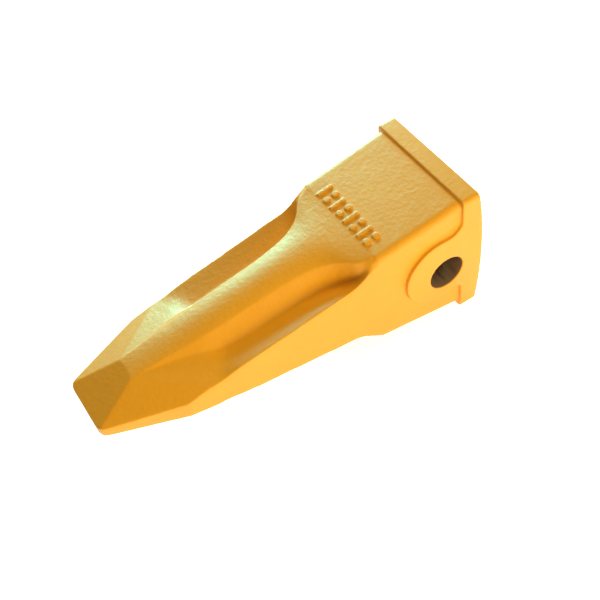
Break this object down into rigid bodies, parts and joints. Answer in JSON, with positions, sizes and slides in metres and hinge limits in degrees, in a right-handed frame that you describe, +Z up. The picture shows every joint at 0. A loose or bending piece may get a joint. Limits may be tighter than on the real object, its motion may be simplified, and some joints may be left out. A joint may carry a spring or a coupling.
{
  "type": "excavator bucket tooth",
  "caption": "Cast ground-engaging tooth with a ribbed, scooped nose, a collared rear socket for an adapter, and a side locking pin with its retainer ring.",
  "frame": {"origin": "on the pin bore's axis, midway between the two ears, inside the socket", "axes": "+X along the tooth to the cutting edge, +Y along the pin bore to the tooth's left side, +Z up; the rear socket opens towards -X"},
  "size_m": [0.271, 0.1082, 0.1052],
  "materials": {
    "yellow_paint": "semi-gloss golden yellow paint over cast alloy steel",
    "pin_steel": "turned and hardened, oiled",
    "ring_steel": "dark spring steel, oiled"
  },
  "bodies": {
    "tooth": {"tooth_casting": "yellow_paint"},
    "pin": {"locking_pin": "pin_steel", "retainer_ring": "ring_steel"}
  },
  "joints": [
    {"name": "pin_slide", "type": "slide", "parent": "tooth", "child": "pin", "axis": [0, 1, 0], "range_m": [-0.029, 0.018]}
  ]
}
